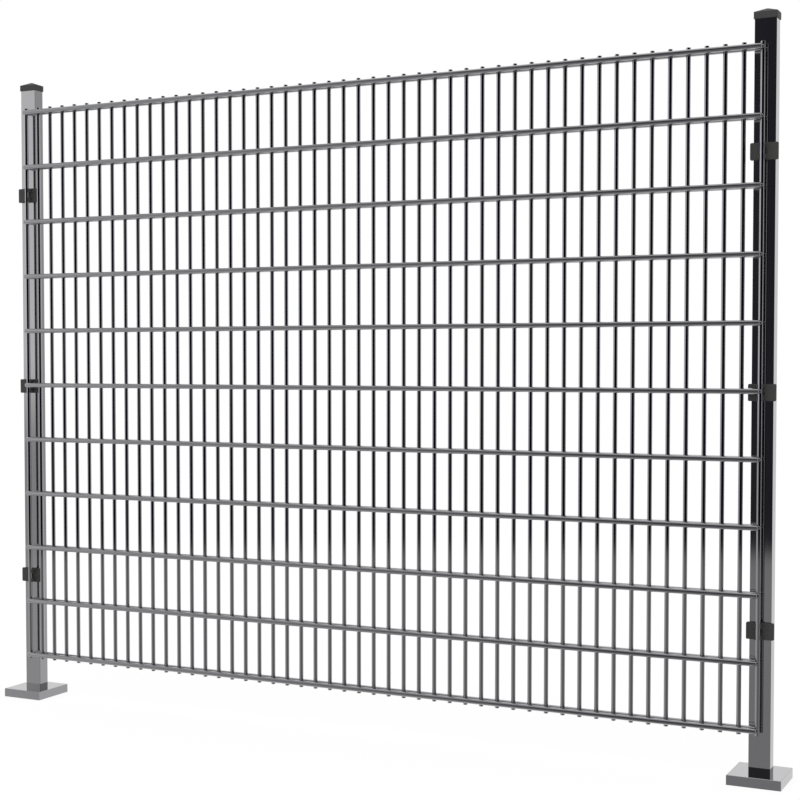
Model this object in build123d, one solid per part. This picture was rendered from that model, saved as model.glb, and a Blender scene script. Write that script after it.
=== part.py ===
"""Double wire mesh fence panel: a welded mesh on two capped posts with snap clips and covered feet.

Millimetres. X runs along the fence, -Y is the front of the mesh and Z is up. The origin lies on
the ground, in the middle of the rectangle that the whole panel covers.
"""

import os

from build123d import *

# Mesh: upright wires between front and rear rails
WIRE_COUNT = 50
WIRES_PER_NODE = 5
WIRE_PITCH = 51.0
WIRE_D = 13.0
WIRE_TAIL = 15.0  # wire past the axes of the top and bottom rails
RAIL_COUNT = 11
RAIL_PITCH = 185.0
RAIL_D = 15.0
RAIL_TAIL = 1.0  # rail past the axes of the end wires
RAIL_END_BEVEL = 3.0
WELD_SET = 0.3  # depth that a weld sinks a rail into a wire

# Posts: rectangular tube
POST_W = 60.0
POST_D = 40.0
POST_WALL = 2.0
POST_CORNER_R = 0.8
LEFT_POST_OFFSET = 9.5  # post's centre line past the axis of the end wire
RIGHT_POST_OFFSET = 2.0
RAIL_TO_POST = 0.8
TOP_RAIL_TO_CAP = 80.0  # top rail's axis to the lower edge of the cap's rim

# Post caps: a rim outside the tube, a hollow plug inside it and a low pyramid
CAP_OVERHANG = 2.5
CAP_CORNER_R = 1.5
CAP_RIM_H = 19.0
CAP_ROOF = 3.0
CAP_RIM_BEVEL = 1.0
CAP_STEP = 0.5
CAP_PEAK_H = 10.5
CAP_PEAK_W = 5.0
CAP_PEAK_D = 3.0
CAP_PLUG_H = 14.0
CAP_PLUG_WALL = 2.0
FIT_GAP = 0.3  # clearance of the parts that slide over the post

# Feet: base plate, weld and sheet cover
PLATE_W = 140.0
PLATE_D = 140.0
PLATE_T = 10.0
ANCHOR_R = 7.0
ANCHOR_SPACING_X = 100.0
ANCHOR_SPACING_Y = 60.0
ANCHOR_FROM_FRONT = 20.0  # front row's axes from the plate's front edge
WELD_LEG = 4.0
COVER_H = 27.5
COVER_WALL = 2.0
COVER_SIDE_GAP = 1.7  # plate to cover, left and right
COVER_FRONT_GAP = 5.7
COVER_EDGE = 0.8
RIGHT_FOOT_SHIFT = 8.7  # right plate's centre past its post's centre line
COVER_TO_BOTTOM_RAIL = 108.5

# Clips: a plate on the post and two snap jaws on the end wire
CLIP_W = 76.0
CLIP_H = 47.0
CLIP_T = 8.0
CLIP_CORNER_R = 4.0
CLIP_EDGE = 1.0
CLIP_SPACING = 651.5  # from clip to clip
MIDDLE_CLIP_DROP = 3.5  # middle clip's centre below the middle rail's axis
JAW_WALL = 2.5
JAW_GAP = 0.15  # wire to jaw
JAW_WRAP = 2.5  # jaw past the wire's axis
JAW_SPLIT = 18.0  # free height between the two jaws
JAW_MARGIN = 1.5  # jaw from the clip's upper and lower edges
SLOT_GAP = 0.5  # rail to the slot in the middle clips

# Clip screws and rivet nuts
SCREW_D = 6.0
SCREW_OFFSET = 7.0  # screw's axis past the axis of the end wire
SCREW_LENGTH = 22.0
SCREW_HEAD_D = 10.5
SCREW_HEAD_H = 3.3
SCREW_HEAD_EDGE = 0.9  # height of the head's straight rim
SCREW_HEAD_FLAT_D = 6.0
SOCKET_ACROSS = 4.0
SOCKET_DEPTH = 2.0
SCREW_HOLE_GAP = 0.3
THREAD_GAP = 0.05
NUT_D = 9.0
NUT_FLANGE_D = 12.0
NUT_FLANGE_T = 1.0
NUT_BULGE_D = 11.5
NUT_BULGE_L = 4.0
NUT_LENGTH = 15.0
NUT_HOLE_GAP = 0.1
NUT_RECESS_GAP = 0.5

# Feet: the left post stands at the outer edge of its plate, and a cover spans each plate
left_foot_shift = (PLATE_W - POST_W) / 2
cover_w = PLATE_W + 2 * (COVER_SIDE_GAP + COVER_WALL)
cover_d = PLATE_D + COVER_FRONT_GAP + FIT_GAP + 2 * COVER_WALL

# Places across the fence, from the middle of the mesh
mesh_half = (WIRE_COUNT - 1) * WIRE_PITCH / 2
post_reach = max(POST_W / 2 + CAP_OVERHANG, CLIP_W / 2)
left_end = -mesh_half - LEFT_POST_OFFSET - max(post_reach, cover_w / 2 - left_foot_shift)
right_end = mesh_half + RIGHT_POST_OFFSET + max(post_reach, cover_w / 2 + RIGHT_FOOT_SHIFT)
mesh_x = -(left_end + right_end) / 2
end_wire_x = {"left": mesh_x - mesh_half, "right": mesh_x + mesh_half}
post_x = {"left": end_wire_x["left"] - LEFT_POST_OFFSET, "right": end_wire_x["right"] + RIGHT_POST_OFFSET}
screw_x = {"left": end_wire_x["left"] - SCREW_OFFSET, "right": end_wire_x["right"] + SCREW_OFFSET}
foot_x = {"left": post_x["left"] + left_foot_shift, "right": post_x["right"] + RIGHT_FOOT_SHIFT}

# Places through the fence
post_back = cover_d / 2 - COVER_WALL - FIT_GAP
post_y = post_back - POST_D / 2
post_front = post_back - POST_D
plate_y = post_back - PLATE_D / 2
rail_step = (WIRE_D + RAIL_D) / 2 - WELD_SET
rear_rail_y = post_front - RAIL_TO_POST - RAIL_D / 2
wire_y = rear_rail_y - rail_step
front_rail_y = wire_y - rail_step
clip_front = post_front - CLIP_T

# Heights and levels
bottom_rail_z = COVER_H + COVER_TO_BOTTOM_RAIL
top_rail_z = bottom_rail_z + (RAIL_COUNT - 1) * RAIL_PITCH
cap_z = top_rail_z + TOP_RAIL_TO_CAP
post_top = cap_z + CAP_RIM_H - CAP_ROOF
middle_clip_z = bottom_rail_z + RAIL_COUNT // 2 * RAIL_PITCH - MIDDLE_CLIP_DROP

SIDES = ("left", "right")
LEVELS = ("lower", "middle", "upper")
clip_z = {level: middle_clip_z + (index - 1) * CLIP_SPACING for index, level in enumerate(LEVELS)}


def rod(diameter, length):
    """A round bar along Z, standing on the origin."""
    return Cylinder(diameter / 2, length, align=(Align.CENTER, Align.CENTER, Align.MIN))


def rail(y, index):
    """One rail across the whole mesh, with bevelled ends."""
    length = 2 * (mesh_half + RAIL_TAIL)
    bar = rod(RAIL_D, length)
    bar = chamfer(bar.edges().filter_by(GeomType.CIRCLE), RAIL_END_BEVEL)
    z = bottom_rail_z + index * RAIL_PITCH
    return Pos(mesh_x - length / 2, y, z) * Rot(0, 90, 0) * bar


def wire(index):
    """One upright wire."""
    x = mesh_x - mesh_half + index * WIRE_PITCH
    length = top_rail_z - bottom_rail_z + 2 * WIRE_TAIL
    return Pos(x, wire_y, bottom_rail_z - WIRE_TAIL) * rod(WIRE_D, length)


def post_outline(growth=0.0):
    """The post's outer section, made larger or smaller all round."""
    width = POST_W + 2 * growth
    depth = POST_D + 2 * growth
    radius = POST_CORNER_R + growth
    return RectangleRounded(width, depth, radius) if radius > 0 else Rectangle(width, depth)


def post(side):
    """Tube from the base plate up into the cap, with a hole in its front wall for each rivet nut."""
    section = post_outline() - post_outline(-POST_WALL)
    tube = Pos(post_x[side], post_y, PLATE_T) * extrude(section, post_top - PLATE_T)
    for z in clip_z.values():
        hole = Cylinder(NUT_D / 2 + NUT_HOLE_GAP, 2 * POST_WALL)
        tube -= Pos(screw_x[side], post_front + POST_WALL / 2, z) * Rot(90, 0, 0) * hole
    return tube


def post_cap(side):
    """Moulded cap that sits on the tube's end."""
    rim_w = POST_W + 2 * CAP_OVERHANG
    rim_d = POST_D + 2 * CAP_OVERHANG
    rim = extrude(RectangleRounded(rim_w, rim_d, CAP_CORNER_R), CAP_RIM_H)
    rim = chamfer(rim.faces().sort_by(Axis.Z)[0].edges(), CAP_RIM_BEVEL)
    rim -= extrude(post_outline(FIT_GAP), CAP_RIM_H - CAP_ROOF)
    plug = post_outline(-POST_WALL - FIT_GAP)
    plug -= post_outline(-POST_WALL - FIT_GAP - CAP_PLUG_WALL)
    roof_z = CAP_RIM_H - CAP_ROOF
    plug = Pos(0, 0, roof_z - CAP_PLUG_H) * extrude(plug, CAP_PLUG_H)
    base_w = rim_w - 2 * CAP_STEP
    base_d = rim_d - 2 * CAP_STEP
    side_run = (base_w - CAP_PEAK_W) / 2
    end_run = (base_d - CAP_PEAK_D) / 2
    peak = Wedge(base_w, CAP_PEAK_H, base_d, side_run, end_run, base_w - side_run, base_d - end_run)
    peak = Pos(0, 0, CAP_RIM_H + CAP_PEAK_H / 2) * Rot(90, 0, 0) * peak
    cap = rim + plug + peak
    return Pos(post_x[side], post_y, cap_z) * cap


def base_plate(side):
    """Steel plate with four anchor holes in front of the post."""
    plate = Box(PLATE_W, PLATE_D, PLATE_T, align=(Align.CENTER, Align.CENTER, Align.MIN))
    pattern_y = -PLATE_D / 2 + ANCHOR_FROM_FRONT + ANCHOR_SPACING_Y / 2
    holes = GridLocations(ANCHOR_SPACING_X, ANCHOR_SPACING_Y, 2, 2)
    plate -= Pos(0, pattern_y, PLATE_T / 2) * holes * Cylinder(ANCHOR_R, 2 * PLATE_T)
    return Pos(foot_x[side], plate_y, 0) * plate


def foot_weld(side):
    """Fillet weld on the sides of the post that stand on the plate."""
    foot = Rectangle(POST_W + 2 * WELD_LEG, POST_D + 2 * WELD_LEG)
    bead = extrude(foot, WELD_LEG, taper=45) - extrude(post_outline(), WELD_LEG)
    bead = Pos(post_x[side], post_y, PLATE_T) * bead
    over_plate = Box(PLATE_W, PLATE_D, 2 * (PLATE_T + WELD_LEG))
    runs = bead & Pos(foot_x[side], plate_y, 0) * over_plate
    return runs.solids().sort_by(SortBy.VOLUME)[-1]


def base_cover(side):
    """Folded sheet cover that drops over the base plate, with a cut-out for the post."""
    bottom = (Align.CENTER, Align.CENTER, Align.MIN)
    cover = Box(cover_w, cover_d, COVER_H, align=bottom)
    cover = chamfer(cover.faces().sort_by(Axis.Z)[-1].edges(), COVER_EDGE)
    inside_w = cover_w - 2 * COVER_WALL
    inside_d = cover_d - 2 * COVER_WALL
    cover -= Box(inside_w, inside_d, COVER_H - COVER_WALL, align=bottom)
    cover = Pos(foot_x[side], 0, 0) * cover
    return cover - Pos(post_x[side], post_y, 0) * extrude(post_outline(FIT_GAP), COVER_H)


def clip_jaw(height):
    """One snap jaw: a block with a round groove for a wire along Z, set out from the post's front."""
    reach = post_front - wire_y
    groove_r = WIRE_D / 2 + JAW_GAP
    depth = reach + JAW_WRAP - CLIP_T
    standing = (Align.CENTER, Align.MAX, Align.MIN)
    block = Pos(0, -CLIP_T) * Box(2 * (groove_r + JAW_WALL), depth, height, align=standing)
    return block - Pos(0, -reach) * rod(2 * groove_r, height)


def rails_across(level):
    """Heights of the rails that cross a clip, from the clip's middle."""
    reach = (CLIP_H + RAIL_D) / 2 + SLOT_GAP
    heights = [bottom_rail_z + index * RAIL_PITCH - clip_z[level] for index in range(RAIL_COUNT)]
    return [height for height in heights if abs(height) < reach]


def clip(side, level):
    """Clip with its jaws towards the mesh, and a slot for each rear rail that crosses it."""
    to_wire = abs(end_wire_x[side] - post_x[side])
    screw_axis = Pos(SCREW_OFFSET - to_wire, 0)
    plate = extrude(RectangleRounded(CLIP_W, CLIP_H, CLIP_CORNER_R), CLIP_T)
    plate = chamfer(plate.faces().sort_by(Axis.Z)[-1].edges(), CLIP_EDGE)
    plate -= screw_axis * Cylinder(SCREW_D / 2 + SCREW_HOLE_GAP, 3 * CLIP_T)
    plate -= screw_axis * rod(NUT_FLANGE_D + 2 * NUT_RECESS_GAP, NUT_FLANGE_T + NUT_HOLE_GAP)
    body = Rot(90, 0, 0) * plate
    upper_jaw_z = JAW_SPLIT / 2
    if level == "middle":
        upper_jaw_z += MIDDLE_CLIP_DROP
    jaw_end = CLIP_H / 2 - JAW_MARGIN
    for low, high in ((-jaw_end, -JAW_SPLIT / 2), (upper_jaw_z, jaw_end)):
        body += Pos(-to_wire, 0, low) * clip_jaw(high - low)
    slot_d = 2 * (post_front - wire_y + JAW_WRAP)
    slot = Box(CLIP_W, slot_d, RAIL_D + 2 * SLOT_GAP, align=(Align.MAX, Align.CENTER, Align.CENTER))
    for height in rails_across(level):
        body -= Pos(RAIL_TAIL + SLOT_GAP - to_wire, 0, height) * slot
    if side == "left":
        body = mirror(body, Plane.YZ)
    return Pos(post_x[side], post_front, clip_z[level]) * body


def clip_screw(side, level):
    """Button head screw with a hexagon socket."""
    slope_h = SCREW_HEAD_H - SCREW_HEAD_EDGE
    slope_w = (SCREW_HEAD_D - SCREW_HEAD_FLAT_D) / 2
    head = rod(SCREW_HEAD_D, SCREW_HEAD_H)
    top = head.faces().sort_by(Axis.Z)[-1]
    head = chamfer(top.edges(), slope_w, slope_h, reference=top)
    socket = RegularPolygon(SOCKET_ACROSS / 2, 6, major_radius=False)
    head -= Pos(0, 0, SCREW_HEAD_H - SOCKET_DEPTH) * extrude(socket, SOCKET_DEPTH)
    screw = head + Pos(0, 0, -SCREW_LENGTH) * rod(SCREW_D, SCREW_LENGTH)
    return Pos(screw_x[side], clip_front, clip_z[level]) * Rot(90, 0, 0) * screw


def rivet_nut(side, level):
    """Blind rivet nut set in the post's front wall."""
    nut = rod(NUT_FLANGE_D, NUT_FLANGE_T)
    nut += Pos(0, 0, -NUT_LENGTH) * rod(NUT_D, NUT_LENGTH)
    nut += Pos(0, 0, -POST_WALL - NUT_BULGE_L) * rod(NUT_BULGE_D, NUT_BULGE_L)
    nut -= Cylinder(SCREW_D / 2 + THREAD_GAP, 3 * NUT_LENGTH)
    return Pos(screw_x[side], post_front, clip_z[level]) * Rot(90, 0, 0) * nut


def build_nodes():
    """Every node's name with its solids."""
    nodes = {}
    for index in range(RAIL_COUNT):
        nodes[f"front_rail_{index + 1:02d}"] = [rail(front_rail_y, index)]
        nodes[f"rear_rail_{index + 1:02d}"] = [rail(rear_rail_y, index)]
    for first in range(0, WIRE_COUNT, WIRES_PER_NODE):
        members = range(first, min(first + WIRES_PER_NODE, WIRE_COUNT))
        name = f"vertical_wires_{first // WIRES_PER_NODE + 1:02d}"
        nodes[name] = [wire(index) for index in members]
    for side in SIDES:
        nodes[f"{side}_post"] = [post(side)]
        nodes[f"{side}_post_cap"] = [post_cap(side)]
        nodes[f"{side}_base_plate"] = [base_plate(side)]
        nodes[f"{side}_foot_weld"] = [foot_weld(side)]
        nodes[f"{side}_base_cover"] = [base_cover(side)]
        nodes[f"{side}_rivet_nuts"] = [rivet_nut(side, level) for level in LEVELS]
        for level in LEVELS:
            nodes[f"{side}_{level}_clip"] = [clip(side, level)]
            nodes[f"{side}_{level}_screw"] = [clip_screw(side, level)]
    return nodes


os.makedirs("parts", exist_ok=True)
for node_name, pieces in build_nodes().items():
    solids = [solid for piece in pieces for solid in piece.solids()]
    shape = solids[0] if len(solids) == 1 else Compound(children=solids)
    export_step(shape, f"parts/{node_name}.step")
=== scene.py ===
"""Dresses the double wire mesh fence panel: bright zinc mesh and posts, dark moulded caps and clips."""

import math

import bmesh
import bpy
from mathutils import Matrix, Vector


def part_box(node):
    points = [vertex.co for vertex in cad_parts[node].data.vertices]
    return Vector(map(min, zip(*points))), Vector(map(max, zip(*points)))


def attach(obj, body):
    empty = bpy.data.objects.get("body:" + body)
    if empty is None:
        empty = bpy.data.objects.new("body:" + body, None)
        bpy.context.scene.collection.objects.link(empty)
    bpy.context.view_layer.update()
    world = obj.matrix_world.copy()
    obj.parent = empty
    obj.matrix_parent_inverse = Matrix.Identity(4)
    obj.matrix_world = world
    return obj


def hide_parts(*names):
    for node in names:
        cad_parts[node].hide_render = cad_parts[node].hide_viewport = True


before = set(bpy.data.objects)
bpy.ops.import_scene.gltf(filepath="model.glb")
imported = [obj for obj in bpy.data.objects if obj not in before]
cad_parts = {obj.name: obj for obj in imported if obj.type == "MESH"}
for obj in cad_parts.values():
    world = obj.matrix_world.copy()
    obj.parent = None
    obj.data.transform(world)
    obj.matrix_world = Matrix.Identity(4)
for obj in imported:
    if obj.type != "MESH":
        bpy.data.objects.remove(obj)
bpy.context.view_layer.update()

bl_info = {
    "name": "Mesh Fence Panel",
    "version": (1, 0, 0),
    "blender": (4, 5, 0),
    "location": "3D View > Sidebar > Fence",
    "description": "Builds the mesh, posts, caps, clips and feet of a double wire fence panel",
    "category": "Object",
}


def nodes_named(start):
    """The nodes whose names start alike, in order."""
    return sorted(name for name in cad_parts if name.startswith(start))


def middle(name):
    """The middle of a node's box."""
    low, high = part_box(name)
    return (low + high) / 2


SIDES = ("left", "right")
LEVELS = ("lower", "middle", "upper")
WIRE_NODES = nodes_named("vertical_wires_")
FRONT_RAILS = nodes_named("front_rail_")
REAR_RAILS = nodes_named("rear_rail_")
CLIP_NODES = [f"{side}_{level}_clip" for side in SIDES for level in LEVELS]
SCREW_NODES = [f"{side}_{level}_screw" for side in SIDES for level in LEVELS]

# Measures of the solids
WIRES_PER_NODE = 5
WIRE_LOW, WIRE_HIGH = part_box(WIRE_NODES[0])
WIRE_RADIUS = (WIRE_HIGH.y - WIRE_LOW.y) / 2
WIRE_PITCH = (WIRE_HIGH.x - WIRE_LOW.x - 2 * WIRE_RADIUS) / (WIRES_PER_NODE - 1)
WIRE_COUNT = WIRES_PER_NODE * len(WIRE_NODES)
WIRE_START = Vector((WIRE_LOW.x + WIRE_RADIUS, (WIRE_LOW.y + WIRE_HIGH.y) / 2, WIRE_LOW.z))
WIRE_LENGTH = WIRE_HIGH.z - WIRE_LOW.z
RAIL_LOW, RAIL_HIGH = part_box(FRONT_RAILS[0])
RAIL_RADIUS = (RAIL_HIGH.y - RAIL_LOW.y) / 2
RAIL_LENGTH = RAIL_HIGH.x - RAIL_LOW.x
RAIL_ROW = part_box(FRONT_RAILS[1])[0].z - RAIL_LOW.z
SCREW_LOW, SCREW_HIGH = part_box(SCREW_NODES[0])
SCREW_HEAD_RADIUS = (SCREW_HIGH.x - SCREW_LOW.x) / 2
SCREW_LENGTH = SCREW_HIGH.y - SCREW_LOW.y

# Angles in degrees: what is smooth, and which edges are rounded
BARREL_ANGLE = 15  # keeps the edge between a bar and its end sharp
MOULDED_ANGLE = 20
SCREW_ANGLE = 40
CAP_EDGE_ANGLE = 20
CLIP_EDGE_ANGLE = 30
COVER_EDGE_ANGLE = 50

# Copies of solids
MERGE_DISTANCE = 2e-6
FLAT_ANGLE = 0.5  # faces within this many degrees of a plane become one
EDGE_STEPS = 2
FACE_WEIGHT = 100  # a large face sets the shading at its edges

# Bars and crossing welds
SHOULDER_SHARE = 0.22  # first step in at a bar's end, as a share of the end's length
NUGGET_SEGMENTS = 10
NUGGET_RINGS = 6

# Clip screws
SCREW_SIDES = 24
DOME_STEPS = 6
DOME_FLAT = 0.55  # radius of the flat on the head, as a share of the head's
HEAD_RIM = 0.22  # straight part of the head, as a share of its height
TIP_SHARE = 0.8  # radius of the shank's end face, as a share of the shank's
TIP_BEVEL = 0.0006
SOCKET_CONE = 0.0003

# Foot welds: places are given in legs of the fillet
BEAD_OUT = 0.30  # a drop's middle past the post's wall and above the plate
BEAD_STOP = 0.5  # last drop of a run short of the solid weld's end
BEAD_START = 0.4  # first drop inside the front corner, where a side has no run
DROP_RADIUS = 0.68
DROP_SEGMENTS = 12
DROP_RINGS = 8
DROP_LEAST = 0.9
DROP_MOST = 1.06
DROP_SEED = 4

# Finishes: how a coat's fine lines are drawn out, and the fine layers of its textures
ALONG_X = (0.06, 1.0, 1.0)
ALONG_Z = (1.0, 1.0, 0.06)
EVEN = (1.0, 1.0, 1.0)
GRAIN_PER_CLOUD = 6.0
FINE_PER_COARSE = 3.0
FINE_SHARE = 0.4
GRAIN_HEIGHT = 0.0002

# Stage. A lamp has a name, its place, what it aims at, its diameter and its power
LAMPS = (
    ("Key", (2.4, -4.8, 3.4), (0.0, 0.0, 0.9), 4.0, 60.0),
    ("Fill", (-2.4, -4.8, 3.2), (0.0, 0.0, 1.0), 4.0, 20.0),
)
WHITE = (1.0, 1.0, 1.0, 1.0)
AMBIENT = (0.85, 0.85, 0.85, 1.0)  # light that matte surfaces get from all round
VIEW_END = 200.0
FLOOR_RADIUS = 9.0
FLOOR_SIDES = 96
FLOOR_DROP = 0.0005  # floor below the feet
FLOOR_COLOUR = (0.8, 0.8, 0.8, 1.0)
FLOOR_WHITE = 1.06  # strength of the white that the camera sees
FLOOR_WHITE_SHARE = 0.85  # the rest is the lit floor, with the shadow on it

# Studio that the metal reflects, from the floor up: a band starts softly between two heights of the
# reflected ray, and its grey tones are set out by the turn from the front, in degrees
COOL = 0.008  # blue in the darkest tones
STUDIO_BANDS = (
    ("Near Floor", -1.0, -1.0, (
        (-180, 0.95), (-80, 0.66), (-45, 0.48), (-28, 0.29), (-21, 0.17), (35, 0.13), (90, 0.25),
        (180, 0.95))),
    ("Far Floor", -0.36, -0.27, (
        (-180, 0.98), (-80, 0.70), (-42, 0.54), (-27, 0.42), (-18, 0.21), (-14, 0.32), (-11, 0.32),
        (35, 0.16), (90, 0.27), (140, 0.70), (180, 0.98))),
    ("Low Walls", -0.130, -0.115, (
        (-180, 1.0), (-80, 0.74), (-42, 0.54), (-35, 0.26), (-20, 0.05), (-13, 0.028), (-6, 0.003),
        (69, 0.003), (77, 0.028), (99, 0.42), (126, 0.57), (142, 0.52), (166, 0.88), (180, 0.92))),
    ("Walls", -0.065, 0.010, (
        (-180, 1.0), (-39.4, 0.96), (-36, 0.36), (-28, 0.20), (-20, 0.05), (-13, 0.028), (-6, 0.003),
        (69, 0.003), (77, 0.028), (99, 0.55), (124, 0.72), (142, 0.52), (166, 0.88), (180, 0.92))),
    ("High Walls", 0.176, 0.205, (
        (-180, 1.0), (-80, 0.90), (-42, 0.72), (-34, 0.32), (-20, 0.05), (-13, 0.028), (-6, 0.003),
        (69, 0.003), (77, 0.028), (99, 0.40), (142, 0.37), (166, 0.88), (180, 0.92))),
    ("Wall Tops", 0.222, 0.252, (
        (-180, 1.0), (-80, 0.88), (-42, 0.66), (-28, 0.22), (-13, 0.062), (82, 0.062), (104, 0.40),
        (168, 0.50), (180, 0.60))),
    ("Upper Walls", 0.30, 0.72, (
        (-180, 1.0), (-125, 0.92), (-56, 0.52), (-36, 0.30), (-21, 0.20), (60, 0.20), (140, 0.80),
        (180, 1.0))),
    ("Ceiling", 0.80, 0.96, ((-180, 0.95), (180, 0.95))),
)


# Settings


class MeshSizes(bpy.types.PropertyGroup):
    """Sizes of the welded mesh."""

    wire_diameter: bpy.props.FloatProperty(
        name="Wire Diameter", description="Thickness of an upright wire",
        default=2 * WIRE_RADIUS, unit="LENGTH")
    wire_end: bpy.props.FloatProperty(
        name="Wire End", description="Bevel on the sheared end of a wire",
        default=0.0009, unit="LENGTH")
    rail_diameter: bpy.props.FloatProperty(
        name="Rail Diameter", description="Thickness of a rail",
        default=2 * RAIL_RADIUS, unit="LENGTH")
    rail_end: bpy.props.FloatProperty(
        name="Rail End", description="Length of the rounded end of a rail",
        default=0.0032, unit="LENGTH")
    sides: bpy.props.IntProperty(
        name="Sides", description="Faces round a wire or rail", default=32, min=8)
    nugget_width: bpy.props.FloatProperty(
        name="Weld Width", description="Width of the weld at a crossing",
        default=0.0104, unit="LENGTH")
    nugget_depth: bpy.props.FloatProperty(
        name="Weld Depth", description="Thickness of the weld at a crossing",
        default=0.0058, unit="LENGTH")


class MouldingSizes(bpy.types.PropertyGroup):
    """Edges of the moulded and folded pieces, and the foot weld."""

    clip_edge: bpy.props.FloatProperty(
        name="Clip Edge", description="Rounding of the clips' edges",
        default=0.0006, unit="LENGTH")
    cap_edge: bpy.props.FloatProperty(
        name="Cap Edge", description="Rounding of the caps' edges",
        default=0.0005, unit="LENGTH")
    cover_edge: bpy.props.FloatProperty(
        name="Cover Edge", description="Rounding of the folded covers' edges",
        default=0.0003, unit="LENGTH")
    bead_length: bpy.props.FloatProperty(
        name="Bead Length", description="Step from ripple to ripple of the foot weld",
        default=0.0022, unit="LENGTH")


class ScrewSizes(bpy.types.PropertyGroup):
    """Sizes of the clip screws."""

    head_height: bpy.props.FloatProperty(
        name="Head Height", description="Height of the button head",
        default=0.0033, unit="LENGTH")
    shank_diameter: bpy.props.FloatProperty(
        name="Shank Diameter", description="Thickness of the screw",
        default=0.006, unit="LENGTH")
    socket_width: bpy.props.FloatProperty(
        name="Socket Width", description="Hexagon socket across its flats",
        default=0.004, unit="LENGTH")
    socket_depth: bpy.props.FloatProperty(
        name="Socket Depth", description="Depth of the socket's walls",
        default=0.002, unit="LENGTH")


class FinishColours(bpy.types.PropertyGroup):
    """Colours of the finishes."""

    bright_zinc: bpy.props.FloatVectorProperty(
        name="Bright Zinc", description="Reflection of the mesh and posts",
        subtype="COLOR", size=3, default=(0.44, 0.44, 0.45), min=0, max=1)
    dull_zinc: bpy.props.FloatVectorProperty(
        name="Dull Zinc", description="Reflection of the base plates and welds",
        subtype="COLOR", size=3, default=(0.52, 0.53, 0.54), min=0, max=1)
    screw_steel: bpy.props.FloatVectorProperty(
        name="Screw Steel", description="Blackened steel of the clip screws",
        subtype="COLOR", size=3, default=(0.06, 0.06, 0.062), min=0, max=1)
    dark_plastic: bpy.props.FloatVectorProperty(
        name="Dark Plastic", description="Moulded caps and clips",
        subtype="COLOR", size=3, default=(0.048, 0.048, 0.0465), min=0, max=1)


class StageSettings(bpy.types.PropertyGroup):
    """Place and lens of the camera."""

    camera_place: bpy.props.FloatVectorProperty(
        name="Camera", description="Place of the camera",
        subtype="TRANSLATION", size=3, default=(2.15795, -4.1090, 1.1416))
    camera_azimuth: bpy.props.FloatProperty(
        name="Azimuth", description="Turn of the camera about the vertical",
        subtype="ANGLE", default=math.radians(26.01))
    camera_drop: bpy.props.FloatProperty(
        name="Drop", description="Angle that the camera looks down by",
        subtype="ANGLE", default=math.radians(2.17))
    lens: bpy.props.FloatProperty(
        name="Lens", description="Focal length on a 36 mm frame", default=68.36)
    rise: bpy.props.FloatProperty(
        name="Rise", description="Vertical shift of the frame", default=0.0239)


GROUPS = {
    "fence_mesh": MeshSizes,
    "fence_moulding": MouldingSizes,
    "fence_screws": ScrewSizes,
    "fence_finish": FinishColours,
    "fence_stage": StageSettings,
}


# Node and mesh helpers


def node(tree, kind, values=None, **settings):
    """A node with its settings and inputs; an input is named or numbered, and is a value or a link."""
    made = tree.nodes.new(kind)
    for key, value in settings.items():
        setattr(made, key, value)
    for key, value in (values or {}).items():
        if isinstance(value, bpy.types.NodeSocket):
            tree.links.new(value, made.inputs[key])
        else:
            made.inputs[key].default_value = value
    return made


def math_node(tree, operation, first, second=0.0):
    """The result of one sum."""
    return node(tree, "ShaderNodeMath", {0: first, 1: second}, operation=operation).outputs[0]


def vector_node(tree, x=0.0, y=0.0, z=0.0):
    """A vector from three values or sockets."""
    return node(tree, "ShaderNodeCombineXYZ", {0: x, 1: y, 2: z}).outputs[0]


def mix_node(tree, share, before, after):
    """A colour between two others."""
    mixed = node(tree, "ShaderNodeMix", {"Factor": share, 6: before, 7: after}, data_type="RGBA")
    return mixed.outputs[2]


def geometry_tree(name, inputs):
    """An empty geometry tree with named inputs, and the sockets of its input node."""
    tree = bpy.data.node_groups.new(name, "GeometryNodeTree")
    tree.interface.new_socket("Geometry", in_out="INPUT", socket_type="NodeSocketGeometry")
    for label, kind in inputs.items():
        tree.interface.new_socket(label, in_out="INPUT", socket_type="NodeSocket" + kind)
    tree.interface.new_socket("Geometry", in_out="OUTPUT", socket_type="NodeSocketGeometry")
    return tree, tree.nodes.new("NodeGroupInput").outputs


def close_tree(tree, geometry, material):
    """Realizes the instances, sets the material and ends the tree."""
    real = node(tree, "GeometryNodeRealizeInstances", {0: geometry})
    finished = node(tree, "GeometryNodeSetMaterial", {"Geometry": real.outputs[0], "Material": material})
    out = tree.nodes.new("NodeGroupOutput")
    tree.links.new(finished.outputs[0], out.inputs[0])


def make_object(name, data):
    """A linked object at the origin."""
    made = bpy.data.objects.new(name, data)
    bpy.context.scene.collection.objects.link(made)
    return made


def plain_mesh(made):
    """Turns an object's modifiers into its own mesh."""
    ready = made.evaluated_get(bpy.context.evaluated_depsgraph_get())
    mesh = bpy.data.meshes.new_from_object(ready)
    mesh.name = made.name
    made.modifiers.clear()
    made.data = mesh
    return made


def grow(name, tree, values, points=()):
    """Runs a geometry tree on a mesh of loose points and keeps the result as a plain mesh."""
    mesh = bpy.data.meshes.new(name)
    mesh.from_pydata([tuple(point) for point in points], [], [])
    made = make_object(name, mesh)
    modifier = made.modifiers.new("Shape", "NODES")
    modifier.node_group = tree
    for item in tree.interface.items_tree:
        if item.in_out == "INPUT" and item.name in values:
            modifier[item.identifier] = values[item.name]
    return plain_mesh(made)


def smooth(mesh, degrees):
    """Smooth faces, with edges above an angle kept sharp."""
    mesh.polygons.foreach_set("use_smooth", [True] * len(mesh.polygons))
    mesh.set_sharp_from_angle(angle=math.radians(degrees))


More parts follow.
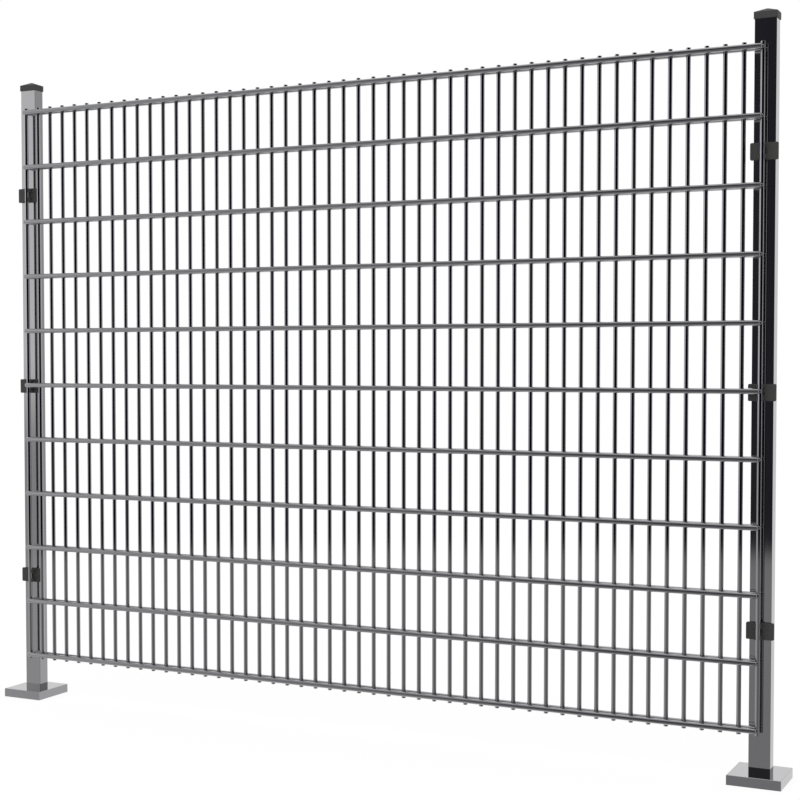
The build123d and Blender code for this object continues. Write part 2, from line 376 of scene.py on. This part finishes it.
def moulded_copy(name, source, edge, degrees):
    """A node's shape with its edges above an angle rounded."""
    work = bmesh.new()
    work.from_mesh(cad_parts[source].data)
    bmesh.ops.remove_doubles(work, verts=work.verts, dist=MERGE_DISTANCE)
    bmesh.ops.dissolve_limit(
        work, angle_limit=math.radians(FLAT_ANGLE), verts=work.verts, edges=work.edges)
    mesh = bpy.data.meshes.new(name)
    work.to_mesh(mesh)
    work.free()
    mesh.materials.clear()
    made = make_object(name, mesh)
    bevel = made.modifiers.new("Edges", "BEVEL")
    bevel.width = edge
    bevel.segments = EDGE_STEPS
    bevel.limit_method = "ANGLE"
    bevel.angle_limit = math.radians(degrees)
    level = made.modifiers.new("Level Faces", "WEIGHTED_NORMAL")
    level.weight = FACE_WEIGHT
    level.keep_sharp = True
    smooth(mesh, MOULDED_ANGLE)
    return plain_mesh(made)


def paint(name, material):
    """Gives a kept node its finish."""
    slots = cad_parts[name].data.materials
    if slots:
        for index in range(len(slots)):
            slots[index] = material
    else:
        slots.append(material)


def fit(piece, body, slot, *nodes):
    """Puts a piece on its body, in place of its nodes."""
    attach(piece, body)
    if nodes:
        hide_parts(*nodes)


# Finishes


def mottle_group():
    """Cloudy unevenness of a coat: its colour and its roughness."""
    if "Coat Mottle" in bpy.data.node_groups:
        return bpy.data.node_groups["Coat Mottle"]
    tree = bpy.data.node_groups.new("Coat Mottle", "ShaderNodeTree")
    face = tree.interface
    face.new_socket("Vector", in_out="INPUT", socket_type="NodeSocketVector")
    face.new_socket("Colour", in_out="INPUT", socket_type="NodeSocketColor")
    for label in ("Scale", "Depth", "Roughness", "Spread"):
        face.new_socket(label, in_out="INPUT", socket_type="NodeSocketFloat")
    face.new_socket("Colour", in_out="OUTPUT", socket_type="NodeSocketColor")
    face.new_socket("Roughness", in_out="OUTPUT", socket_type="NodeSocketFloat")
    inside = tree.nodes.new("NodeGroupInput").outputs
    cloud = node(tree, "ShaderNodeTexNoise", {
        "Vector": inside["Vector"], "Scale": inside["Scale"], "Detail": 4.0, "Roughness": 0.55})
    grain_scale = math_node(tree, "MULTIPLY", inside["Scale"], GRAIN_PER_CLOUD)
    grain = node(tree, "ShaderNodeTexNoise", {
        "Vector": inside["Vector"], "Scale": grain_scale, "Detail": 2.0})
    both = math_node(tree, "ADD", cloud.outputs[0], grain.outputs[0])
    swing = math_node(tree, "SUBTRACT", both, 1.0)
    depth = math_node(tree, "MULTIPLY", swing, inside["Depth"])
    level = math_node(tree, "ADD", depth, 1.0)
    tint = node(tree, "ShaderNodeVectorMath", {0: inside["Colour"], 3: level}, operation="SCALE")
    spread = math_node(tree, "MULTIPLY", swing, inside["Spread"])
    rough = math_node(tree, "ADD", spread, inside["Roughness"])
    out = tree.nodes.new("NodeGroupOutput")
    tree.links.new(tint.outputs[0], out.inputs["Colour"])
    tree.links.new(rough, out.inputs["Roughness"])
    return tree


def grain_group():
    """Fine raised grain: a height for bump."""
    if "Fine Grain" in bpy.data.node_groups:
        return bpy.data.node_groups["Fine Grain"]
    tree = bpy.data.node_groups.new("Fine Grain", "ShaderNodeTree")
    face = tree.interface
    face.new_socket("Vector", in_out="INPUT", socket_type="NodeSocketVector")
    face.new_socket("Scale", in_out="INPUT", socket_type="NodeSocketFloat")
    face.new_socket("Height", in_out="OUTPUT", socket_type="NodeSocketFloat")
    inside = tree.nodes.new("NodeGroupInput").outputs
    coarse = node(tree, "ShaderNodeTexNoise", {
        "Vector": inside["Vector"], "Scale": inside["Scale"], "Detail": 3.0})
    fine_scale = math_node(tree, "MULTIPLY", inside["Scale"], FINE_PER_COARSE)
    fine = node(tree, "ShaderNodeTexVoronoi", {"Vector": inside["Vector"], "Scale": fine_scale})
    part = math_node(tree, "MULTIPLY", fine.outputs["Distance"], FINE_SHARE)
    height = math_node(tree, "ADD", coarse.outputs[0], part)
    out = tree.nodes.new("NodeGroupOutput")
    tree.links.new(height, out.inputs["Height"])
    return tree


def finish(name, colour, metallic, rough, spread, depth, scale, grain, bump, gloss=0.5, stretch=EVEN):
    """A coated surface: mottled colour and roughness on a fine grain."""
    if name in bpy.data.materials:
        return bpy.data.materials[name]
    material = bpy.data.materials.new(name)
    material.use_nodes = True
    tree = material.node_tree
    tree.nodes.clear()
    place = node(tree, "ShaderNodeTexCoord").outputs["Object"]
    drawn = node(tree, "ShaderNodeMapping", {"Vector": place, "Scale": stretch}).outputs[0]
    mottle = node(tree, "ShaderNodeGroup", node_tree=mottle_group())
    tree.links.new(drawn, mottle.inputs["Vector"])
    mottle.inputs["Colour"].default_value = (*colour, 1.0)
    mottle.inputs["Scale"].default_value = scale
    mottle.inputs["Depth"].default_value = depth
    mottle.inputs["Roughness"].default_value = rough
    mottle.inputs["Spread"].default_value = spread
    fine = node(tree, "ShaderNodeGroup", node_tree=grain_group())
    tree.links.new(drawn, fine.inputs["Vector"])
    fine.inputs["Scale"].default_value = grain
    raised = node(tree, "ShaderNodeBump", {
        "Height": fine.outputs["Height"], "Strength": bump, "Distance": GRAIN_HEIGHT})
    surface = node(tree, "ShaderNodeBsdfPrincipled", {
        "Base Color": mottle.outputs["Colour"], "Roughness": mottle.outputs["Roughness"],
        "Metallic": metallic, "Specular IOR Level": gloss, "Normal": raised.outputs[0]})
    out = tree.nodes.new("ShaderNodeOutputMaterial")
    tree.links.new(surface.outputs[0], out.inputs[0])
    return material


def bright_zinc(context, part, stretch=EVEN):
    """Smooth bright coat, its fine lines drawn out along a piece."""
    return finish(
        f"Bright Zinc {part}", context.scene.fence_finish.bright_zinc, metallic=1.0, rough=0.045,
        spread=0.02, depth=0.05, scale=14.0, grain=260.0, bump=0.01, stretch=stretch)


def dull_zinc(context):
    """Dull coat of the hidden steel."""
    return finish(
        "Dull Zinc", context.scene.fence_finish.dull_zinc, metallic=1.0, rough=0.42,
        spread=0.16, depth=0.30, scale=45.0, grain=500.0, bump=0.25)


def screw_steel(context):
    """Blackened steel."""
    return finish(
        "Blackened Steel", context.scene.fence_finish.screw_steel, metallic=0.5, rough=0.48,
        spread=0.10, depth=0.20, scale=300.0, grain=1500.0, bump=0.12)


def dark_plastic(context):
    """Moulded plastic with a fine matte grain."""
    return finish(
        "Dark Plastic", context.scene.fence_finish.dark_plastic, metallic=0.0, rough=0.54,
        spread=0.12, depth=0.22, scale=90.0, grain=1100.0, bump=0.35, gloss=0.36)


# Pieces


def round_bar(tree, sides, radius, length, end):
    """A bar along Z with its ends stepped in twice, so that they look rounded."""
    half_end = math_node(tree, "MULTIPLY", end, 0.5)
    both_ends = math_node(tree, "MULTIPLY", end, 2.0)
    straight = math_node(tree, "SUBTRACT", length, both_ends)
    bar = node(tree, "GeometryNodeMeshCylinder", {
        "Vertices": sides, "Radius": radius, "Depth": straight})
    shape = bar.outputs["Mesh"]
    tips = node(tree, "FunctionNodeBooleanMath", {
        0: bar.outputs["Top"], 1: bar.outputs["Bottom"]}, operation="OR").outputs[0]
    inner = math_node(tree, "SUBTRACT", radius, end)
    first_step = math_node(tree, "MULTIPLY", end, SHOULDER_SHARE)
    shoulder = math_node(tree, "SUBTRACT", radius, first_step)
    for width, before in ((shoulder, radius), (inner, shoulder)):
        longer = node(tree, "GeometryNodeExtrudeMesh", {
            "Mesh": shape, "Selection": tips, "Offset Scale": half_end,
            "Individual": False}, mode="FACES")
        ratio = math_node(tree, "DIVIDE", width, before)
        drawn_in = node(tree, "GeometryNodeScaleElements", {
            "Geometry": longer.outputs["Mesh"], "Selection": longer.outputs["Top"],
            "Scale": ratio}, domain="FACE")
        shape = drawn_in.outputs[0]
        tips = longer.outputs["Top"]
    return shape


class FENCE_OT_uprights(bpy.types.Operator):
    """Set out the upright wires"""

    bl_idname = "fence.uprights"
    bl_label = "Upright Wires"

    def execute(self, context):
        sizes = context.scene.fence_mesh
        tree, inside = geometry_tree("Upright Wires", {
            "Count": "Int", "Pitch": "Float", "Start": "Vector", "Length": "Float",
            "Diameter": "Float", "End": "Float", "Sides": "Int", "Finish": "Material"})
        radius = math_node(tree, "MULTIPLY", inside["Diameter"], 0.5)
        bar = round_bar(tree, inside["Sides"], radius, inside["Length"], inside["End"])
        up = math_node(tree, "MULTIPLY", inside["Length"], 0.5)
        raised = node(tree, "ShaderNodeVectorMath", {0: inside["Start"], 1: vector_node(tree, z=up)})
        row = node(tree, "GeometryNodeMeshLine", {
            "Count": inside["Count"], "Start Location": raised.outputs[0],
            "Offset": vector_node(tree, x=inside["Pitch"])})
        wires = node(tree, "GeometryNodeInstanceOnPoints", {"Points": row.outputs[0], "Instance": bar})
        close_tree(tree, wires.outputs[0], inside["Finish"])
        piece = grow("upright_wires", tree, {
            "Count": WIRE_COUNT, "Pitch": WIRE_PITCH, "Start": WIRE_START, "Length": WIRE_LENGTH,
            "Diameter": sizes.wire_diameter, "End": sizes.wire_end, "Sides": sizes.sides,
            "Finish": bright_zinc(context, "Wire", ALONG_Z)})
        smooth(piece.data, BARREL_ANGLE)
        fit(piece, "panel", "mesh_metal", *WIRE_NODES)
        return {"FINISHED"}


class FENCE_OT_rails(bpy.types.Operator):
    """Set out the front and rear rails"""

    bl_idname = "fence.rails"
    bl_label = "Rails"

    def execute(self, context):
        sizes = context.scene.fence_mesh
        tree, inside = geometry_tree("Rails", {
            "Count": "Int", "Row": "Float", "Start": "Vector", "Length": "Float",
            "Diameter": "Float", "End": "Float", "Sides": "Int", "Finish": "Material"})
        radius = math_node(tree, "MULTIPLY", inside["Diameter"], 0.5)
        bar = round_bar(tree, inside["Sides"], radius, inside["Length"], inside["End"])
        lying = node(tree, "GeometryNodeTransform", {
            "Geometry": bar, "Rotation": (0.0, math.pi / 2, 0.0)})
        row = node(tree, "GeometryNodeMeshLine", {
            "Count": inside["Count"], "Start Location": inside["Start"],
            "Offset": vector_node(tree, z=inside["Row"])})
        rails = node(tree, "GeometryNodeInstanceOnPoints", {
            "Points": row.outputs[0], "Instance": lying.outputs[0]})
        close_tree(tree, rails.outputs[0], inside["Finish"])
        for name, nodes in (("front_rails", FRONT_RAILS), ("rear_rails", REAR_RAILS)):
            piece = grow(name, tree, {
                "Count": len(nodes), "Row": RAIL_ROW, "Start": middle(nodes[0]), "Length": RAIL_LENGTH,
                "Diameter": sizes.rail_diameter, "End": sizes.rail_end, "Sides": sizes.sides,
                "Finish": bright_zinc(context, "Rail", ALONG_X)})
            smooth(piece.data, BARREL_ANGLE)
            fit(piece, "panel", "mesh_metal", *nodes)
        return {"FINISHED"}


class FENCE_OT_welds(bpy.types.Operator):
    """Weld every crossing of a wire and a rail"""

    bl_idname = "fence.welds"
    bl_label = "Crossing Welds"

    def execute(self, context):
        sizes = context.scene.fence_mesh
        tree, inside = geometry_tree("Crossing Welds", {
            "Columns": "Int", "Rows": "Int", "Pitch": "Float", "Row": "Float", "Start": "Vector",
            "Width": "Float", "Depth": "Float", "Finish": "Material"})
        ball = node(tree, "GeometryNodeMeshUVSphere", {
            "Segments": NUGGET_SEGMENTS, "Rings": NUGGET_RINGS, "Radius": 0.5})
        soft = node(tree, "GeometryNodeSetShadeSmooth", {0: ball.outputs[0]})
        flat = node(tree, "GeometryNodeTransform", {
            "Geometry": soft.outputs[0],
            "Scale": vector_node(tree, inside["Width"], inside["Depth"], inside["Width"])})
        across = node(tree, "GeometryNodeMeshLine", {
            "Count": inside["Columns"], "Start Location": inside["Start"],
            "Offset": vector_node(tree, x=inside["Pitch"])})
        row = node(tree, "GeometryNodeInstanceOnPoints", {
            "Points": across.outputs[0], "Instance": flat.outputs[0]})
        upward = node(tree, "GeometryNodeMeshLine", {
            "Count": inside["Rows"], "Offset": vector_node(tree, z=inside["Row"])})
        rows = node(tree, "GeometryNodeInstanceOnPoints", {
            "Points": upward.outputs[0], "Instance": row.outputs[0]})
        close_tree(tree, rows.outputs[0], inside["Finish"])
        for name, nodes, side in (("front_welds", FRONT_RAILS, -1), ("rear_welds", REAR_RAILS, 1)):
            start = Vector((WIRE_START.x, WIRE_START.y + side * WIRE_RADIUS, middle(nodes[0]).z))
            piece = grow(name, tree, {
                "Columns": WIRE_COUNT, "Rows": len(nodes), "Pitch": WIRE_PITCH, "Row": RAIL_ROW,
                "Start": start, "Width": sizes.nugget_width, "Depth": sizes.nugget_depth,
                "Finish": bright_zinc(context, "Weld")})
            fit(piece, "panel", "mesh_metal")
        return {"FINISHED"}


class FENCE_OT_posts(bpy.types.Operator):
    """Finish the tube posts"""

    bl_idname = "fence.posts"
    bl_label = "Posts"

    def execute(self, context):
        coat = bright_zinc(context, "Post", ALONG_Z)
        for side in SIDES:
            paint(f"{side}_post", coat)
        return {"FINISHED"}


class FENCE_OT_caps(bpy.types.Operator):
    """Mould the post caps"""

    bl_idname = "fence.caps"
    bl_label = "Post Caps"

    def execute(self, context):
        edge = context.scene.fence_moulding.cap_edge
        for side in SIDES:
            piece = moulded_copy(f"{side}_cap", f"{side}_post_cap", edge, CAP_EDGE_ANGLE)
            piece.data.materials.append(dark_plastic(context))
            fit(piece, f"{side}_cap", "dark_plastic", f"{side}_post_cap")
        return {"FINISHED"}


class FENCE_OT_clips(bpy.types.Operator):
    """Mould the clips that hold the end wires"""

    bl_idname = "fence.clips"
    bl_label = "Clips"

    def execute(self, context):
        edge = context.scene.fence_moulding.clip_edge
        for name in CLIP_NODES:
            piece = moulded_copy(f"{name}_moulded", name, edge, CLIP_EDGE_ANGLE)
            piece.data.materials.append(dark_plastic(context))
            fit(piece, "panel", "dark_plastic", name)
        return {"FINISHED"}


def screw_shape(sizes):
    """A button head screw along Y, turned from its profile, with its seat at the origin."""
    head = SCREW_HEAD_RADIUS
    shank = sizes.shank_diameter / 2
    length = SCREW_LENGTH - sizes.head_height
    rim_height = sizes.head_height * HEAD_RIM
    dome_height = sizes.head_height - rim_height
    flat = head * DOME_FLAT
    profile = [(0.0, length), (shank * TIP_SHARE, length), (shank, length - TIP_BEVEL)]
    profile += [(shank, 0.0), (head, 0.0), (head, -rim_height)]
    for step in range(1, DOME_STEPS + 1):
        turn = step / DOME_STEPS * math.pi / 2
        out = flat + (head - flat) * math.cos(turn)
        profile.append((out, -rim_height - dome_height * math.sin(turn)))
    turns = [2 * math.pi * k / SCREW_SIDES for k in range(SCREW_SIDES)]
    outlines = [([radius] * SCREW_SIDES, y) for radius, y in profile]
    sector = math.pi / 3  # the part of a turn that one flat of the hexagon takes
    from_flat = [(turn + sector / 2) % sector - sector / 2 for turn in turns]
    hexagon = [sizes.socket_width / 2 / math.cos(angle) for angle in from_flat]
    socket_floor = sizes.socket_depth - sizes.head_height
    outlines += [(hexagon, -sizes.head_height), (hexagon, socket_floor)]
    outlines.append(([0.0] * SCREW_SIDES, socket_floor + SOCKET_CONE))
    work = bmesh.new()
    rings = []
    for radii, y in outlines:
        if any(radii):
            places = [(r * math.cos(turn), y, r * math.sin(turn)) for r, turn in zip(radii, turns)]
        else:
            places = [(0.0, y, 0.0)]
        rings.append([work.verts.new(place) for place in places])
    for one, other in zip(rings, rings[1:]):
        for k in range(SCREW_SIDES):
            n = (k + 1) % SCREW_SIDES
            corners = [one[k % len(one)], one[n % len(one)]]
            corners += [other[n % len(other)], other[k % len(other)]]
            work.faces.new(list(dict.fromkeys(corners)))  # a triangle where a ring is one point
    bmesh.ops.recalc_face_normals(work, faces=work.faces)
    mesh = bpy.data.meshes.new("screw_shape")
    work.to_mesh(mesh)
    work.free()
    smooth(mesh, SCREW_ANGLE)
    return mesh


class FENCE_OT_screws(bpy.types.Operator):
    """Turn one clip screw and place it in every clip"""

    bl_idname = "fence.screws"
    bl_label = "Clip Screws"

    def execute(self, context):
        sizes = context.scene.fence_screws
        pattern = make_object("screw_pattern", screw_shape(sizes))
        tree, inside = geometry_tree("Clip Screws", {"Screw": "Object", "Finish": "Material"})
        shape = node(tree, "GeometryNodeObjectInfo", {"Object": inside["Screw"]})
        screws = node(tree, "GeometryNodeInstanceOnPoints", {
            "Points": inside["Geometry"], "Instance": shape.outputs["Geometry"]})
        close_tree(tree, screws.outputs[0], inside["Finish"])
        seats = []
        for name in SCREW_NODES:
            axis = middle(name)
            seats.append((axis.x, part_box(name)[0].y + sizes.head_height, axis.z))
        piece = grow("clip_screws", tree, {"Screw": pattern, "Finish": screw_steel(context)}, seats)
        bpy.data.objects.remove(pattern)
        fit(piece, "panel", "screw_steel", *SCREW_NODES)
        return {"FINISHED"}


class FENCE_OT_feet(bpy.types.Operator):
    """Fold the foot covers, weld the posts down and finish the base plates"""

    bl_idname = "fence.feet"
    bl_label = "Feet"

    def execute(self, context):
        sizes = context.scene.fence_moulding
        coat = bright_zinc(context, "Cover")
        dull = dull_zinc(context)
        for side in SIDES:
            piece = moulded_copy(
                f"{side}_foot_cover", f"{side}_base_cover", sizes.cover_edge, COVER_EDGE_ANGLE)
            piece.data.materials.append(coat)
            fit(piece, f"{side}_cover", "post_metal", f"{side}_base_cover")
            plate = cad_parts[f"{side}_base_plate"]
            for hidden in (piece, plate):  # keeps the posts clear of mirrored feet
                hidden.visible_glossy = False
            paint(f"{side}_base_plate", dull)
            paint(f"{side}_rivet_nuts", dull)
            self.weld(side, sizes.bead_length, dull)
        return {"FINISHED"}

    def weld(self, side, step, material):
        """A rippled fillet along the post's front and the sides that stand on the plate."""
        low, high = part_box(f"{side}_foot_weld")
        post_low, post_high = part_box(f"{side}_post")
        leg = high.z - low.z
        out = leg * BEAD_OUT
        left, right = post_low.x - out, post_high.x + out
        front, back = post_low.y - out, high.y - leg * BEAD_STOP
        path = [(right, front), (right, back)]
        if low.x > post_low.x - leg / 2:  # the post's left side is flush with the plate
            path.insert(0, (post_low.x + leg * BEAD_START, front))
        else:
            path = [(left, back), (left, front)] + path
        points = [Vector((x, y, low.z + out)) for x, y in path]
        seats = []
        for one, other in zip(points, points[1:]):
            count = max(2, round((other - one).length / step))
            seats += [one.lerp(other, k / count) for k in range(count)]
        seats.append(points[-1])
        tree = bpy.data.node_groups.get("Foot Weld") or self.weld_tree()
        piece = grow(f"{side}_weld_bead", tree, {"Leg": leg, "Finish": material}, seats)
        fit(piece, "panel", "zinc_steel", f"{side}_foot_weld")

    def weld_tree(self):
        """One drop of metal on every seat, each a little larger or smaller."""
        tree, inside = geometry_tree("Foot Weld", {"Leg": "Float", "Finish": "Material"})
        ball = node(tree, "GeometryNodeMeshUVSphere", {
            "Segments": DROP_SEGMENTS, "Rings": DROP_RINGS, "Radius": DROP_RADIUS})
        soft = node(tree, "GeometryNodeSetShadeSmooth", {0: ball.outputs[0]})
        size = vector_node(tree, inside["Leg"], inside["Leg"], inside["Leg"])
        drop = node(tree, "GeometryNodeTransform", {"Geometry": soft.outputs[0], "Scale": size})
        uneven = node(tree, "FunctionNodeRandomValue", {
            2: DROP_LEAST, 3: DROP_MOST, "Seed": DROP_SEED}, data_type="FLOAT")
        drops = node(tree, "GeometryNodeInstanceOnPoints", {
            "Points": inside["Geometry"], "Instance": drop.outputs[0], "Scale": uneven.outputs[1]})
        close_tree(tree, drops.outputs[0], inside["Finish"])
        return tree


# Stage


class FENCE_OT_stage(bpy.types.Operator):
    """Lay the floor and set the studio light and the camera"""

    bl_idname = "fence.stage"
    bl_label = "Stage"

    def execute(self, context):
        scene = context.scene
        scene.view_settings.view_transform = "Standard"
        self.floor()
        self.studio(scene)
        for settings in LAMPS:
            self.lamp(*settings)
        self.camera(scene)
        return {"FINISHED"}

    def camera(self, scene):
        """A level camera that looks down a little."""
        settings = scene.fence_stage
        view = bpy.data.cameras.new("Camera")
        view.lens = settings.lens
        view.shift_y = settings.rise
        view.clip_end = VIEW_END
        camera = make_object("Camera", view)
        camera.location = settings.camera_place
        camera.rotation_euler = (math.pi / 2 - settings.camera_drop, 0.0, settings.camera_azimuth)
        scene.camera = camera

    def lamp(self, name, place, aim, size, power):
        """A large soft lamp, left out of reflections."""
        light = bpy.data.lights.new(name, "AREA")
        light.shape = "DISK"
        light.size = size
        light.energy = power
        lamp = make_object(name, light)
        lamp.location = place
        lamp.rotation_euler = (Vector(aim) - Vector(place)).to_track_quat("-Z", "Y").to_euler()
        lamp.visible_glossy = False

    def floor(self):
        """A pale round floor that shows the object's shadow."""
        work = bmesh.new()
        bmesh.ops.create_circle(work, cap_ends=True, segments=FLOOR_SIDES, radius=FLOOR_RADIUS)
        mesh = bpy.data.meshes.new("floor")
        work.to_mesh(mesh)
        work.free()
        floor = make_object("floor", mesh)
        floor.location.z = -FLOOR_DROP
        floor.visible_glossy = False
        material = bpy.data.materials.new("Pale Floor")
        material.use_nodes = True
        tree = material.node_tree
        tree.nodes.clear()
        rays = node(tree, "ShaderNodeLightPath").outputs
        matte = node(tree, "ShaderNodeBsdfDiffuse", {"Color": FLOOR_COLOUR})
        white = node(tree, "ShaderNodeEmission", {"Color": WHITE, "Strength": FLOOR_WHITE})
        share = math_node(tree, "MULTIPLY", rays["Is Camera Ray"], FLOOR_WHITE_SHARE)
        mixed = node(tree, "ShaderNodeMixShader", {0: share, 1: matte.outputs[0], 2: white.outputs[0]})
        out = tree.nodes.new("ShaderNodeOutputMaterial")
        tree.links.new(mixed.outputs[0], out.inputs[0])
        floor.data.materials.append(material)

    def studio(self, scene):
        """White for the camera and even light; metal sees bands, dark in front and pale behind."""
        world = bpy.data.worlds.new("Studio")
        scene.world = world
        world.use_nodes = True
        tree = world.node_tree
        tree.nodes.clear()
        rays = node(tree, "ShaderNodeLightPath").outputs
        way = node(tree, "ShaderNodeTexCoord").outputs["Generated"]
        x, y, z = node(tree, "ShaderNodeSeparateXYZ", {0: way}).outputs
        turn = math_node(tree, "ARCTAN2", x, math_node(tree, "MULTIPLY", y, -1.0))
        around = node(tree, "ShaderNodeMapRange", {
            "Value": turn, "From Min": -math.pi, "From Max": math.pi}).outputs[0]
        seen = None
        for label, start, end, tones in STUDIO_BANDS:
            band = self.ramp(tree, around, label, tones)
            seen = self.blend(tree, z, start, end, seen, band) if seen else band
        glossy = math_node(tree, "MAXIMUM", rays["Is Glossy Ray"], rays["Is Transmission Ray"])
        lit = mix_node(tree, glossy, AMBIENT, seen)
        shown = mix_node(tree, rays["Is Camera Ray"], lit, WHITE)
        light = node(tree, "ShaderNodeBackground", {"Color": shown, "Strength": 1.0})
        out = tree.nodes.new("ShaderNodeOutputWorld")
        tree.links.new(light.outputs[0], out.inputs[0])

    def blend(self, tree, value, start, end, before, after):
        """Goes softly from one tone to another as a value rises from start to end."""
        share = node(tree, "ShaderNodeMapRange", {
            "Value": value, "From Min": start, "From Max": end}, interpolation_type="SMOOTHSTEP")
        return mix_node(tree, share.outputs[0], before, after)

    def ramp(self, tree, value, label, tones):
        """Tones set out by their turn from the front."""
        made = node(tree, "ShaderNodeValToRGB", {0: value}, label=label)
        stops = made.color_ramp.elements
        while len(stops) < len(tones):
            stops.new(0.5)
        for stop, (degrees, tone) in zip(stops, tones):
            stop.position = degrees / 360 + 0.5
            stop.color = (tone, tone, tone + COOL * (1 - tone), 1.0)
        return made.outputs[0]


# Add-on


PIECES = (
    FENCE_OT_uprights,
    FENCE_OT_rails,
    FENCE_OT_welds,
    FENCE_OT_posts,
    FENCE_OT_caps,
    FENCE_OT_clips,
    FENCE_OT_screws,
    FENCE_OT_feet,
    FENCE_OT_stage,
)


class FENCE_PT_sidebar(bpy.types.Panel):
    """Lists the fence's sizes and pieces"""

    bl_idname = "FENCE_PT_sidebar"
    bl_label = "Mesh Fence Panel"
    bl_space_type = "VIEW_3D"
    bl_region_type = "UI"
    bl_category = "Fence"

    def draw(self, context):
        for group, kind in GROUPS.items():
            box = self.layout.box()
            for prop in kind.__annotations__:
                box.prop(getattr(context.scene, group), prop)
        for piece in PIECES:
            self.layout.operator(piece.bl_idname)


def register():
    """Adds the classes and the scene's settings."""
    for kind in (*GROUPS.values(), *PIECES, FENCE_PT_sidebar):
        bpy.utils.register_class(kind)
    for group, kind in GROUPS.items():
        setattr(bpy.types.Scene, group, bpy.props.PointerProperty(type=kind))


def unregister():
    """Takes the scene's settings and the classes away again."""
    for group in GROUPS:
        delattr(bpy.types.Scene, group)
    for kind in reversed((*GROUPS.values(), *PIECES, FENCE_PT_sidebar)):
        bpy.utils.unregister_class(kind)


def main():
    """Builds the pieces and the stage in order."""
    register()
    bpy.ops.fence.uprights()
    bpy.ops.fence.rails()
    bpy.ops.fence.welds()
    bpy.ops.fence.posts()
    bpy.ops.fence.caps()
    bpy.ops.fence.clips()
    bpy.ops.fence.screws()
    bpy.ops.fence.feet()
    bpy.ops.fence.stage()


if __name__ == "__main__":
    main()
